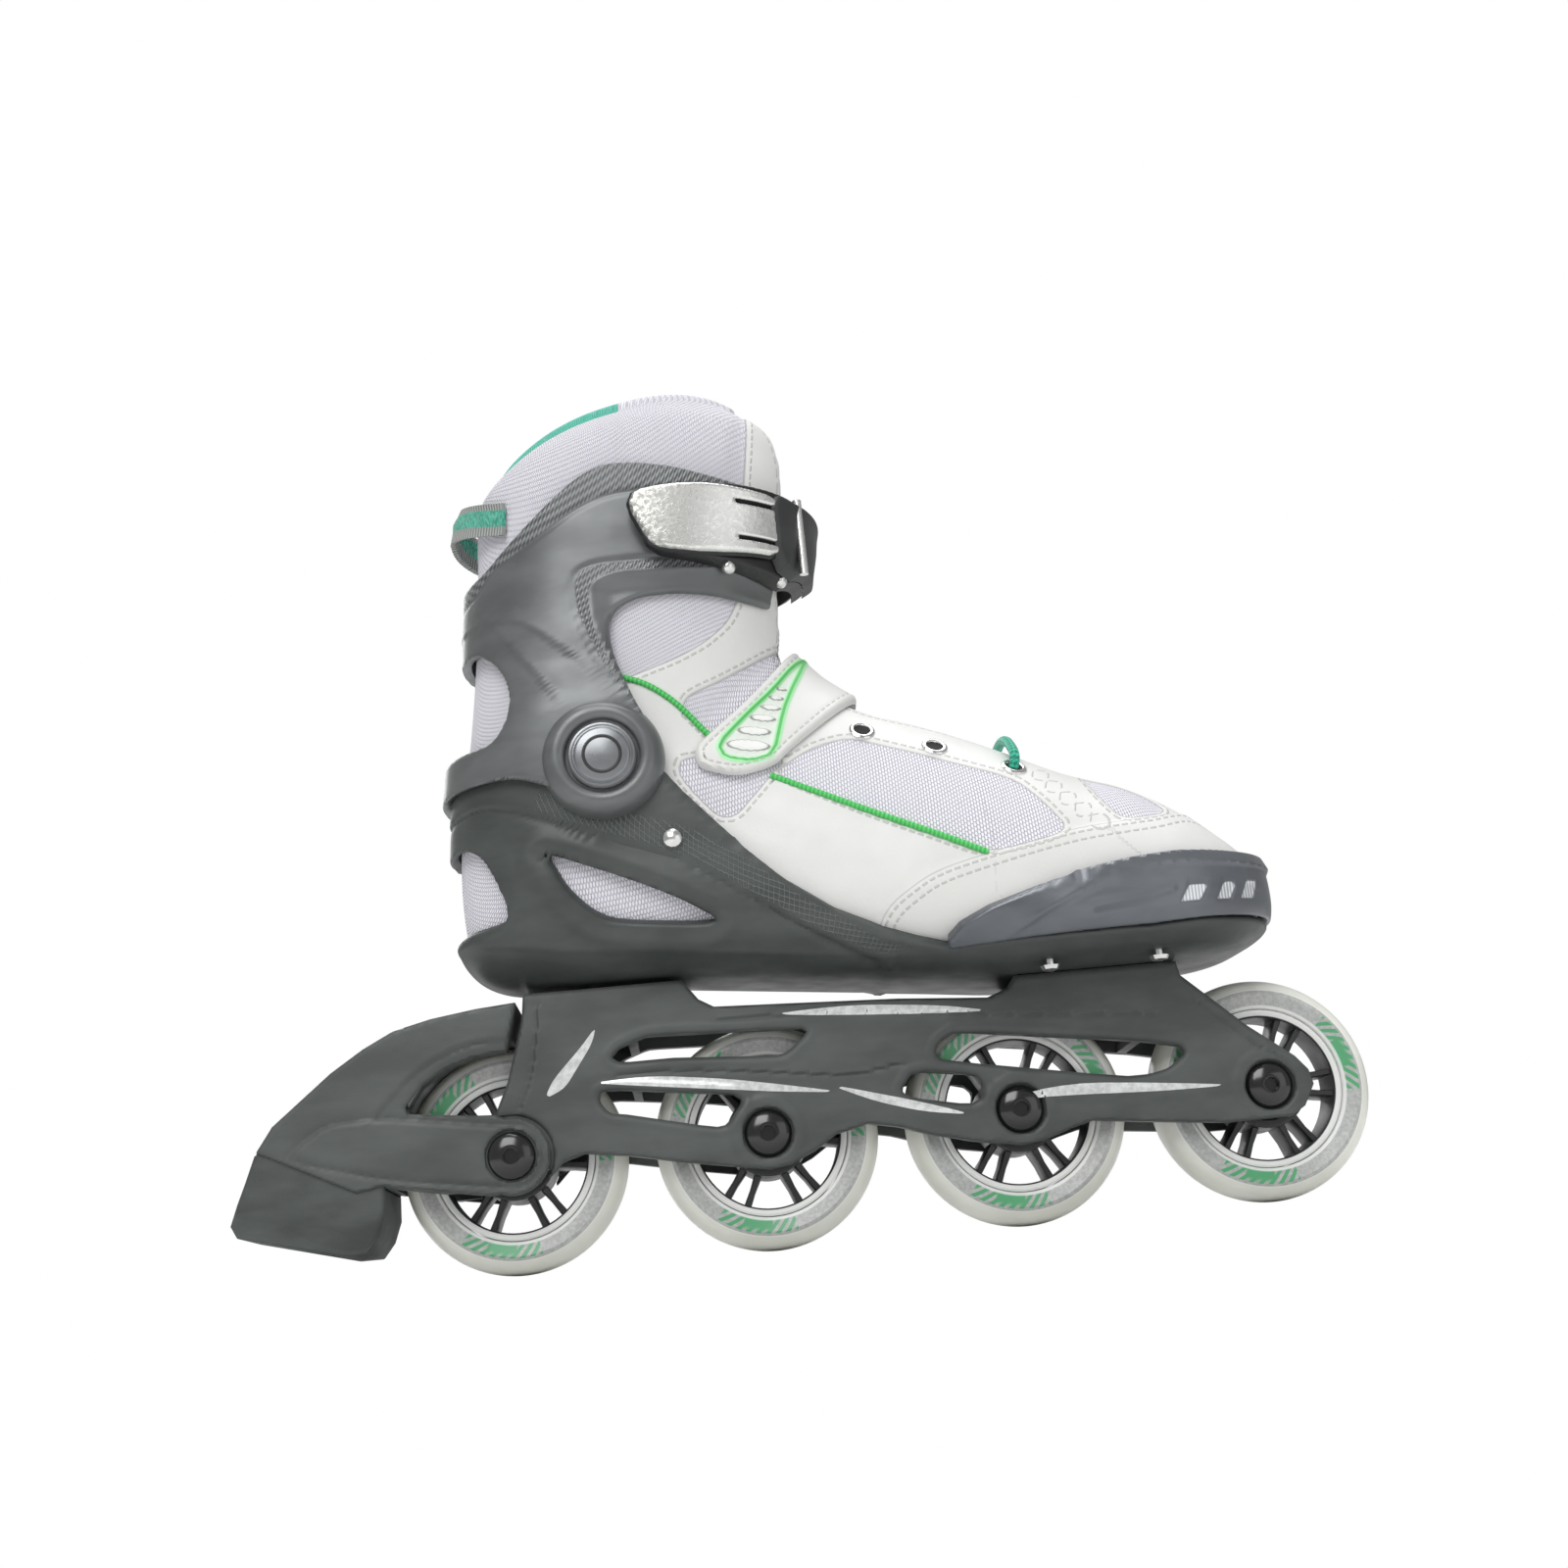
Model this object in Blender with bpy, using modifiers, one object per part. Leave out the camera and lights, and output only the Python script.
"""A right-foot inline skate: a soft boot in a plastic shell with a hinged cuff, on a four-wheel frame
with a heel brake.

+X points to the toe, -Y to the outer (lateral) side, +Z up, and the wheels stand on z = 0. Every size
here is in millimetres and is scaled to metres as a mesh is made. Each piece is built in skate
coordinates, whose x = 0 is the middle of the wheelbase, and the empty "skate" then moves them all so that
the origin is below the middle of the box.
"""

import math

import bmesh
import bpy
from mathutils import Matrix, Vector
from mathutils.bvhtree import BVHTree

MM = 0.001
GAP = 0.35  # between two pieces that touch or rest on each other
MERGE = 0.001 * MM
FLAT = math.radians(0.4)  # faces this close to one plane become one face

# Wheels and axles
WHEEL_RADIUS = 38.0
WHEEL_WIDTH = 24.0
WHEEL_SPACE = 9.33  # between neighbouring tyres
WHEEL_COUNT = 4
HUB_RADIUS = 27.0
HUB_RIM = 2.6
HUB_WEB_WIDTH = 9.0
HUB_WINDOW_RADIUS = 4.2
HUB_WINDOWS = 6
BEARING_RADIUS = 11.0
BEARING_BORE = 4.4
BEARING_WIDTH = 7.0
SLEEVE_RADIUS = 3.95
SLEEVE_BORE = 3.2
BOLT_RADIUS = 2.85
BOLT_HEAD_RADIUS = 7.6
BOLT_HEAD_HEIGHT = 3.6
HEX_RADIUS = 2.3
HEX_DEPTH = 2.0

# Frame
FRAME_HALF_WIDTH = 17.5
FRAME_WALL = 3.8
DECK_THICKNESS = 4.0
DECK_OVER_WHEEL = 16.0  # rear mounting plate above the wheel tops
TYRE_CLEARANCE = 2.6
MOUNT_BOLT_RADIUS = 3.4
MOUNT_BOLT_HEAD_RADIUS = 7.0
MOUNT_BOLT_HEAD_HEIGHT = 3.5

# Brake
BRAKE_LUG_THICKNESS = 3.4
BRAKE_TAIL = 93.0  # from the rear axle back to the end of the pad
PAD_HALF_WIDTH = 19.5
BRAKE_BOLT_RADIUS = 2.9

# Boot, shell and cuff
BOOT_LENGTH = 275.5
BOOT_WIDTH = 99.0
BOOT_HEIGHT = 199.0
LINING = 7.0  # wall of the padded upper
SHELL_INSIDE = 0.6
SHELL_OUTSIDE = 4.2
BUMPER_OUTSIDE = 4.8
CUFF_WALL = 3.4
CUFF_INSIDE_LOW = 5.0  # the cuff overlaps the shell here
CUFF_INSIDE_HIGH = 1.0
EAR_RADIUS = 13.5
BOSS_RADIUS = 17.4
BOSS_PROUD = 2.0
BOSS_RECESS = 2.0
BOSS_RECESS_RADIUS = 12.3
PIVOT_PIN_RADIUS = 4.0
PIVOT_CAP_RADIUS = 11.6
PIVOT_CAP_HEIGHT = 3.2
SPLIT_RADIUS = 35.0  # where the collar parts from the lower boot, round the cuff's pivot
CUFF_FORWARD_DEG = 12.0
RIVET_RADIUS = 3.6
INSOLE_THICKNESS = 4.0

# Buckle and straps
STRAP_THICKNESS = 2.0
BUCKLE_PLATE = 1.6
LEVER_THICKNESS = 2.2
BUCKLE_PIN_RADIUS = 1.6
WEBBING_THICKNESS = 1.6
LOOP_STANDOFF = 7.0
LACE_RADIUS = 1.8
EYELET_HOLE = 3.3
EYELET_FLANGE = 4.6

# Derived places
AXLE_Z = WHEEL_RADIUS
AXLE_SPACING = 2 * WHEEL_RADIUS + WHEEL_SPACE
WHEELBASE = AXLE_SPACING * (WHEEL_COUNT - 1)
AXLES_X = [AXLE_SPACING * i - WHEELBASE / 2 for i in range(WHEEL_COUNT)]
REAR_AXLE_X = AXLES_X[0]
DECK_Z = 2 * WHEEL_RADIUS + DECK_OVER_WHEEL
TAIL_X = REAR_AXLE_X - BRAKE_TAIL
NOSE_X = AXLES_X[-1] + WHEEL_RADIUS
ORIGIN_SHIFT = -(TAIL_X + NOSE_X) / 2

# The outlines below were drawn for these sizes, and stretch from them.
DRAWN_WHEELBASE = 256.0
DRAWN_AXLE_Z = 38.0
DRAWN_DECK_Z = 92.0
DRAWN_BRAKE_TAIL = 93.0
DRAWN_LENGTH, DRAWN_WIDTH, DRAWN_HEIGHT = 275.5, 99.0, 199.0


def frame_xz(x, z):
    """A point drawn on the frame's side, for this wheelbase and wheel size."""
    rise = (DECK_Z - AXLE_Z) / (DRAWN_DECK_Z - DRAWN_AXLE_Z)
    return x * WHEELBASE / DRAWN_WHEELBASE, AXLE_Z + (z - DRAWN_AXLE_Z) * rise


def brake_xz(x, z):
    """A point drawn on the brake's side, as distances from the rear axle."""
    stretch = BRAKE_TAIL / DRAWN_BRAKE_TAIL
    return REAR_AXLE_X + x * stretch, AXLE_Z + z * AXLE_Z / DRAWN_AXLE_Z


def boot_xz(x, z):
    """A point drawn on the boot's side, with z above the frame's rear mounting plate."""
    return x * BOOT_LENGTH / DRAWN_LENGTH, DECK_Z + z * BOOT_HEIGHT / DRAWN_HEIGHT


def placed(points, place):
    return [place(x, z) for x, z in points]


PIVOT_X, PIVOT_Z = boot_xz(-87.0, 73.0)

# ---------------------------------------------------------------- scene and mesh helpers

for old in list(bpy.data.objects):
    bpy.data.objects.remove(old, do_unlink=True)
skate_collection = bpy.data.collections.new("inline_skate")
cutter_collection = bpy.data.collections.new("cutters")
bpy.context.scene.collection.children.link(skate_collection)
bpy.context.scene.collection.children.link(cutter_collection)


def material(name, colour, roughness, metallic=0.0):
    made = bpy.data.materials.new(name)
    made.use_nodes = True
    shader = made.node_tree.nodes["Principled BSDF"]
    shader.inputs["Base Color"].default_value = (*colour, 1.0)
    shader.inputs["Roughness"].default_value = roughness
    shader.inputs["Metallic"].default_value = metallic
    return made


FRAME_GREY = material("frame_grey", (0.075, 0.085, 0.085), 0.55)
CUFF_GREY = material("cuff_grey", (0.16, 0.17, 0.17), 0.42)
BUMPER_GREY = material("bumper_grey", (0.09, 0.1, 0.115), 0.32)
BLACK_PLASTIC = material("black_plastic", (0.012, 0.012, 0.013), 0.35)
BRAKE_RUBBER = material("brake_rubber", (0.045, 0.05, 0.052), 0.8)
TYRE_WHITE = material("tyre_white", (0.78, 0.78, 0.72), 0.35)
HUB_BLACK = material("hub_black", (0.03, 0.032, 0.035), 0.45)
STEEL = material("steel", (0.55, 0.55, 0.56), 0.28, 1.0)
BLACK_STEEL = material("black_steel", (0.01, 0.01, 0.01), 0.15, 0.6)
LEVER_SILVER = material("lever_silver", (0.75, 0.75, 0.73), 0.25, 1.0)
MESH_FABRIC = material("mesh_fabric", (0.78, 0.78, 0.84), 0.85)
WHITE_VINYL = material("white_vinyl", (0.84, 0.85, 0.85), 0.5)
LINING_GREY = material("lining_grey", (0.5, 0.51, 0.52), 0.9)
TEAL = material("teal_textile", (0.02, 0.42, 0.3), 0.7)


def link(obj):
    """Puts a new object with the cutters until finish_piece() takes it as a part."""
    cutter_collection.objects.link(obj)
    return obj


def mesh_object(name, points, faces):
    mesh = bpy.data.meshes.new(name)
    mesh.from_pydata([Vector(p) * MM for p in points], [], faces)
    return link(bpy.data.objects.new(name, mesh))


def bake(obj, merge=True):
    """Replaces the object's data by its evaluated mesh, in skate coordinates, and closes its seams."""
    bpy.context.view_layer.update()
    graph = bpy.context.evaluated_depsgraph_get()
    mesh = bpy.data.meshes.new_from_object(obj.evaluated_get(graph))
    mesh.transform(obj.matrix_world)
    name, old = obj.name, obj
    if merge:
        bm = bmesh.new()
        bm.from_mesh(mesh)
        bmesh.ops.remove_doubles(bm, verts=bm.verts, dist=MERGE)
        bmesh.ops.recalc_face_normals(bm, faces=bm.faces)
        bm.to_mesh(mesh)
        bm.free()
    bpy.data.objects.remove(old, do_unlink=True)
    made = link(bpy.data.objects.new(name, mesh))
    return made


def is_sound(obj):
    """Whether a Boolean's result is a closed solid."""
    bm = bmesh.new()
    bm.from_mesh(obj.data)
    sound = bm.calc_volume() > 1e-12 and all(edge.is_manifold for edge in bm.edges)
    bm.free()
    return sound


def combine(obj, operation, others, solver):
    """Cuts, joins or intersects obj with the others, which are used up. MANIFOLD is for where EXACT fails."""
    for other in others:
        for trial_solver in dict.fromkeys((solver, "MANIFOLD")):
            trial = copy_of(obj, "trial")
            modifier = trial.modifiers.new("Boolean", "BOOLEAN")
            modifier.operation = operation
            modifier.solver = trial_solver
            modifier.object = other
            trial = bake(trial, merge=False)
            if is_sound(trial):
                break
        name = obj.name
        bpy.data.objects.remove(obj, do_unlink=True)
        bpy.data.objects.remove(other, do_unlink=True)
        trial.name = name
        obj = trial
    return obj


def cut(obj, *cutters, solver="EXACT"):
    return combine(obj, "DIFFERENCE", cutters, solver)


def join(obj, *others, solver="EXACT"):
    return combine(obj, "UNION", others, solver)


def keep(obj, *regions, solver="EXACT"):
    return combine(obj, "INTERSECT", regions, solver)


def copy_of(obj, name):
    made = link(bpy.data.objects.new(name, obj.data.copy()))
    made.matrix_world = obj.matrix_world.copy()
    return made


def plate(name, outline, y_low, y_high, holes=()):
    """A flat piece in the XZ plane: a filled 2D curve from y_low to y_high, with holes."""
    curve = bpy.data.curves.new(name, "CURVE")
    curve.dimensions = "2D"
    curve.fill_mode = "BOTH"
    curve.extrude = (y_high - y_low) / 2 * MM
    for points in (outline, *holes):
        line = curve.splines.new("POLY")
        line.points.add(len(points) - 1)
        line.use_cyclic_u = True
        for point, (x, z) in zip(line.points, points):
            point.co = (x * MM, z * MM, 0, 1)
    obj = link(bpy.data.objects.new(name, curve))
    obj.rotation_euler.x = math.pi / 2
    obj.location.y = (y_low + y_high) / 2 * MM
    return bake(obj)


def block(name, low, high):
    """A box from its lowest to its highest corner."""
    size = [h - l for l, h in zip(low, high)]
    middle = [(h + l) / 2 for l, h in zip(low, high)]
    bpy.ops.mesh.primitive_cube_add(size=1, location=Vector(middle) * MM)
    obj = bpy.context.object
    obj.name = name
    obj.scale = Vector(size) * MM
    for collection in list(obj.users_collection):
        collection.objects.unlink(obj)
    return bake(link(obj))


def turned(name, profile, steps=24, at=(0, 0, 0), axis="Y"):
    """A turned piece. The profile is (radius, height along the axis) from the top down its outer side."""
    mesh = bpy.data.meshes.new(name)
    closed = profile[0][0] > 0 or profile[-1][0] > 0
    count = len(profile)
    edges = [(i, (i + 1) % count) for i in range(count if closed else count - 1)]
    mesh.from_pydata([(r * MM, 0, h * MM) for r, h in profile], edges, [])
    obj = link(bpy.data.objects.new(name, mesh))
    screw = obj.modifiers.new("Screw", "SCREW")
    screw.steps = screw.render_steps = steps
    screw.use_merge_vertices = True
    screw.merge_threshold = MERGE
    screw.use_smooth_shade = True
    if axis == "Y":
        obj.rotation_euler.x = -math.pi / 2
    obj.location = Vector(at) * MM
    return bake(obj)


def rod(name, radius, start, end, steps=16):
    """A round bar between two points."""
    start, end = Vector(start), Vector(end)
    along = end - start
    bpy.ops.mesh.primitive_cylinder_add(vertices=steps, radius=radius * MM, depth=along.length * MM)
    obj = bpy.context.object
    obj.name = name
    obj.rotation_mode = "QUATERNION"
    obj.rotation_quaternion = along.to_track_quat("Z", "Y")
    obj.location = (start + end) / 2 * MM
    for collection in list(obj.users_collection):
        collection.objects.unlink(obj)
    return bake(link(obj))


def arc(centre, radius, start_deg, end_deg, steps):
    """Points on an arc in the XZ plane."""
    angles = [math.radians(start_deg + (end_deg - start_deg) * i / steps) for i in range(steps + 1)]
    return [(centre[0] + radius * math.cos(a), centre[1] + radius * math.sin(a)) for a in angles]


def bevelled(obj, width, segments=2, angle_deg=40):
    modifier = obj.modifiers.new("Bevel", "BEVEL")
    modifier.width = width * MM
    modifier.segments = segments
    modifier.limit_method = "ANGLE"
    modifier.angle_limit = math.radians(angle_deg)
    return bake(obj)


def catmull_rom(a, b, c, d, t):
    """The value between b and c on the smooth curve through four values."""
    return 0.5 * (2 * b + (c - a) * t + (2 * a - 5 * b + 4 * c - d) * t**2 + (3 * b - a - 3 * c + d) * t**3)


# ---------------------------------------------------------------- the boot's form

# Sections of the boot, from the toe round the heel to the top of the collar. Each is an oval between a
# point on the ridge (vamp, instep, shin) and a point below or behind it (sole, heel, calf). The columns are
# ridge x, ridge z, base x, base height over the sole, half width, where it is widest, base squareness, ridge
# squareness, rise of the sides, and the share of any growth that goes forward.
SECTIONS = [
    (134.0, 20, 134.5, 8, 8.0, 0.45, 2.2, 2.2, 0, 1.0),
    (132.0, 26, 133.0, 3, 19.0, 0.42, 2.6, 2.2, 0, 0.85),
    (128.0, 30.5, 129.0, 1, 28.0, 0.40, 3.0, 2.2, 0, 0.55),
    (120.0, 37, 120.0, 0, 36.5, 0.38, 3.4, 2.2, 0, 0.3),
    (108.0, 46.5, 107.0, 0, 43.5, 0.36, 3.6, 2.2, 0, 0.12),
    (91.0, 56, 90.0, 0, 48.0, 0.34, 3.8, 2.2, 0, 0),
    (72.0, 63, 70.0, 0, 49.5, 0.33, 3.8, 2.1, 0, 0),
    (50.0, 74.5, 46.0, 0, 48.5, 0.32, 3.8, 2.0, 0, 0),
    (28.0, 85, 20.0, 0, 45.5, 0.31, 3.6, 2.0, 0, 0),
    (6.0, 94, -10.0, 0, 42.5, 0.32, 3.4, 2.0, 0, 0),
    (-6.0, 102, -42.0, 0, 40.0, 0.34, 3.2, 2.0, 0, 0),
    (-13.0, 109, -76.0, 0, 38.5, 0.38, 3.0, 2.0, 0, 0),
    (-17.5, 114, -105.0, 0, 38.0, 0.42, 2.8, 2.1, 0, 0),
    (-19.5, 118, -127.0, 2, 37.8, 0.44, 2.6, 2.1, 0, 0),
    (-20.0, 122, -138.0, 11, 38.0, 0.46, 2.4, 2.2, 0, 0),
    (-20.0, 127, -141.0, 28, 38.5, 0.48, 2.3, 2.2, 0, 0),
    (-19.5, 133, -140.5, 50, 39.0, 0.49, 2.3, 2.2, 0, 0),
    (-19.0, 140, -138.0, 70, 39.0, 0.5, 2.3, 2.2, 0, 0),
    (-18.0, 148, -134.5, 92, 38.8, 0.5, 2.3, 2.2, 0, 0),
    (-17.0, 158, -131.5, 116, 38.5, 0.5, 2.3, 2.2, 0, 0),
    (-13.5, 172, -129.0, 144, 38.5, 0.5, 2.3, 2.2, 3, 0),
    (-12.0, 186, -128.0, 164, 38.5, 0.5, 2.3, 2.2, 6, 0),
    (-15.0, 197, -126.0, 174, 38.0, 0.5, 2.3, 2.2, 8.5, 0),
    (-24.0, 205, -120.5, 178.5, 35.0, 0.5, 2.3, 2.2, 9.5, 0),
]
LAST_SECTION = len(SECTIONS) - 1
TOE_SPRING = 5.0
ROUND = 20  # points round a section

REAR_PLATE_X = [frame_xz(x, 0)[0] for x in (-121.0, -66.0)]
FRONT_PLATE_X = [frame_xz(x, 0)[0] for x in (46.0, 102.0)]
FRONT_DECK_Z = frame_xz(0, 83.0)[1]


def sole_z(x):
    """Height of the shell's underside: level on both mounting plates, sloping between, and rising at the
    toe."""
    share = (x - REAR_PLATE_X[1]) / (FRONT_PLATE_X[0] - REAR_PLATE_X[1])
    share = min(1.0, max(0.0, share))
    toe = boot_xz(134.0, 0)[0]
    past = max(0.0, (x - FRONT_PLATE_X[1]) / (toe - FRONT_PLATE_X[1])) if toe > FRONT_PLATE_X[1] else 0.0
    return DECK_Z + GAP + (FRONT_DECK_Z - DECK_Z) * share + TOE_SPRING * min(past, 1.2) ** 2


def section_at(s):
    """The section's numbers at a place s along the list, smoothly between its rows."""
    s = min(max(s, 0.0), LAST_SECTION - 1e-6)
    i = int(s)
    rows = [SECTIONS[min(max(k, 0), LAST_SECTION)] for k in (i - 1, i, i + 1, i + 2)]
    return [catmull_rom(*values, s - i) for values in zip(*rows)]


def boot_point(s, angle, grow=0.0):
    """A point on the boot, or grow outside it. Angle 0 is the ridge, pi the sole or heel, and -Y is at pi
    / 2."""
    tx, tz, bx, rise, half, widest, base_n, ridge_n, arch, forward = section_at(s)
    ridge_x, ridge_z = boot_xz(tx, tz)
    base_x = boot_xz(bx, 0)[0]
    base_z = sole_z(base_x) + SHELL_OUTSIDE + rise * BOOT_HEIGHT / DRAWN_HEIGHT
    half = half * BOOT_WIDTH / DRAWN_WIDTH + grow
    length = math.hypot(ridge_x - base_x, ridge_z - base_z)
    along = ((ridge_x - base_x) / length, (ridge_z - base_z) / length)
    c, d = math.cos(angle), math.sin(angle)
    power = 2 / (ridge_n if c > 0 else base_n)
    reach = (length * (1 - widest) if c > 0 else length * widest) + grow
    u = math.copysign(abs(c) ** power, c) * reach + length * widest
    y = -math.copysign(abs(d) ** power, d) * half
    x = base_x + along[0] * u + forward * grow
    z = base_z + along[1] * u + arch * d * d
    return Vector((x, y, z))


def boot_form(name, first, last, grow, lift=0.0):
    """A closed solid of the boot from one section to another. grow is a number, or a function of section
    and angle, and lift adds a straight extension at the top."""
    at = grow if callable(grow) else lambda s, angle: grow
    angles = [2 * math.pi * k / ROUND for k in range(ROUND)]
    stations = [first] + [s for s in range(LAST_SECTION) if first < s < last] + [last]
    rings = [[boot_point(s, angle, at(s, angle)) for angle in angles] for s in stations]
    if lift:
        rings.append([point + Vector((0, 0, lift)) for point in rings[-1]])
    points = [point for ring in rings for point in ring]
    points += [sum(ring, Vector()) / ROUND for ring in (rings[0], rings[-1])]
    top = (len(rings) - 1) * ROUND
    faces = []
    for start in range(0, top, ROUND):
        for k in range(ROUND):
            n = (k + 1) % ROUND
            faces.append((start + k, start + ROUND + k, start + ROUND + n, start + n))
    for k in range(ROUND):
        n = (k + 1) % ROUND
        faces.append((k, n, len(points) - 2))
        faces.append((top + n, top + k, len(points) - 1))
    made = mesh_object(name, points, faces)
    face_out(made)
    return made


def boot_band(name, along, inside, outside):
    """A strap that follows the boot. along lists (angle, lower section, upper section); inside and
    outside say how far its two faces stand off the boot."""
    points = []
    for angle, low, high in along:
        for s, grow in ((low, inside), (high, inside), (high, outside), (low, outside)):
            points.append(boot_point(s, angle, grow))
    return four_sided(name, points)


def side_y(form, x, z):
    """How far out the outer (-Y) side of a form is at a point of its side view."""
    tree = BVHTree.FromObject(form, bpy.context.evaluated_depsgraph_get())
    hit = tree.ray_cast(Vector((x * MM, -1.0, z * MM)), Vector((0, 1, 0)))[0]
    return -hit.y / MM


# ---------------------------------------------------------------- empties and finishing

skate = bpy.data.objects.new("skate", None)
skate.location.x = ORIGIN_SHIFT * MM
skate_collection.objects.link(skate)


def joint_empty(name, x, y, z):
    empty = bpy.data.objects.new(name, None)
    skate_collection.objects.link(empty)
    empty.parent = skate
    empty.location = (x * MM, y * MM, z * MM)
    return empty


def finish_piece(obj, name, finish, parent=skate):
    """Makes an object a part: named, coloured, shaded, and parented with its place kept."""
    bm = bmesh.new()
    bm.from_mesh(obj.data)
    bmesh.ops.dissolve_limit(bm, angle_limit=FLAT, verts=bm.verts, edges=bm.edges)
    bm.to_mesh(obj.data)
    bm.free()
    obj.name = name
    obj.data.name = name
    obj.data.materials.clear()
    obj.data.materials.append(finish)
    obj.data.shade_smooth()
    obj.data.set_sharp_from_angle(angle=math.radians(35))
    cutter_collection.objects.unlink(obj)
    skate_collection.objects.link(obj)
    obj.parent = parent
    if parent is not skate:
        obj.matrix_parent_inverse = Matrix.Translation(-parent.location)
    return obj


# ---------------------------------------------------------------- wheels

WHEEL_HALF = WHEEL_WIDTH / 2
BEARING_INNER_FACE = WHEEL_HALF - BEARING_WIDTH
FRAME_INSIDE = FRAME_HALF_WIDTH - FRAME_WALL
COUNTERBORE = 1.0
REAR_SEAT = FRAME_HALF_WIDTH + GAP + BRAKE_LUG_THICKNESS


def tyre_profile():
    """Half-round tread on straight sides, round the hub."""
    tread = WHEEL_HALF - 1.0
    shoulder = WHEEL_RADIUS - tread * 0.86
    crown = [
        (shoulder + (WHEEL_RADIUS - shoulder) * math.sin(a), tread * math.cos(a))
        for a in [math.pi * i / 6 for i in range(7)]
    ]
    bore = HUB_RADIUS + GAP / 2
    side = shoulder - 1.5
    return [(bore, WHEEL_HALF - 2.5), (side, WHEEL_HALF - 1.2), *crown, (side, 1.2 - WHEEL_HALF),
        (bore, 2.5 - WHEEL_HALF)]


def hub_profile():
    outer = HUB_RADIUS - GAP / 2
    rim = outer - HUB_RIM
    barrel = BEARING_RADIUS + GAP + 2.2
    bore = BEARING_RADIUS + GAP
    stop = BEARING_RADIUS - 1.8
    rim_half = WHEEL_HALF - 3.0
    web = HUB_WEB_WIDTH / 2
    inner_face = BEARING_INNER_FACE - GAP
    side = [
        (bore, WHEEL_HALF),
        (barrel, WHEEL_HALF),
        (barrel, web),
        (rim, web),
        (rim, rim_half),
        (outer, rim_half),
    ]
    return [(stop, inner_face), (bore, inner_face), *side, *[(r, -h) for r, h in reversed(side)],
        (bore, -inner_face),
            (stop, -inner_face)]


def ring_profile(inner, outer, low, high):
    return [(inner, high), (outer, high), (outer, low), (inner, low)]


def make_wheel(number, x, bolt_seat):
    """The pieces on one axle. bolt_seat is how far out the two axle heads stand."""
    axis = joint_empty(f"wheel_{number}_axis", x, 0, AXLE_Z)
    centre = (x, 0, AXLE_Z)
    tyre = turned("tyre", tyre_profile(), 20, centre)
    finish_piece(tyre, f"tyre_{number}", TYRE_WHITE, axis)

    hub = turned("hub", hub_profile(), 16, centre)
    ring = (HUB_RADIUS - HUB_RIM + BEARING_RADIUS + 2.5) / 2
    for i in range(HUB_WINDOWS):
        angle = math.radians(90 + 360 / HUB_WINDOWS * i)
        wx, wz = x + ring * math.cos(angle), AXLE_Z + ring * math.sin(angle)
        hub = cut(hub, rod("window", HUB_WINDOW_RADIUS, (wx, -WHEEL_HALF, wz), (wx, WHEEL_HALF, wz), 8))
    finish_piece(hub, f"hub_{number}", HUB_BLACK, axis)

    for side, sign in (("outer", -1), ("inner", 1)):
        low, high = sorted((sign * BEARING_INNER_FACE, sign * WHEEL_HALF))
        bearing = turned("bearing", ring_profile(BEARING_BORE, BEARING_RADIUS, low, high), 16, centre)
        finish_piece(bearing, f"bearing_{number}_{side}", STEEL, axis)

    seat = bolt_seat + GAP
    head = seat + BOLT_HEAD_HEIGHT
    dome = [
        (BOLT_HEAD_RADIUS * math.sin(a), seat + 1.2 + (BOLT_HEAD_HEIGHT - 1.2) * math.cos(a))
        for a in [math.radians(v) for v in (25, 58, 90)]
    ]
    socket = [(0, head - HEX_DEPTH), (HEX_RADIUS, head - HEX_DEPTH), (HEX_RADIUS, head - 0.2)]
    bolt_end = WHEEL_HALF - 6
    bolt = turned(
        "bolt", [*socket, *dome, (BOLT_HEAD_RADIUS, seat), (BOLT_RADIUS, seat), (BOLT_RADIUS, -bolt_end),
        (0, -bolt_end)], 12,
        (0, 0, 0), "Z",
    )
    bolt.rotation_euler.x = math.pi / 2
    bolt.location = Vector(centre) * MM
    finish_piece(bake(bolt), f"axle_bolt_{number}", BLACK_STEEL)

    sleeve_end = FRAME_HALF_WIDTH - 1.5
    bore_end = FRAME_HALF_WIDTH - 6.0
    sleeve = turned(
        "sleeve",
        [*socket, *dome, (BOLT_HEAD_RADIUS, seat), (SLEEVE_RADIUS, seat), (SLEEVE_RADIUS, -sleeve_end),
         (SLEEVE_BORE, -sleeve_end), (SLEEVE_BORE, bore_end), (0, bore_end)], 12, centre,
    )
    finish_piece(sleeve, f"axle_sleeve_{number}", BLACK_STEEL)


# ---------------------------------------------------------------- frame

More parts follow.
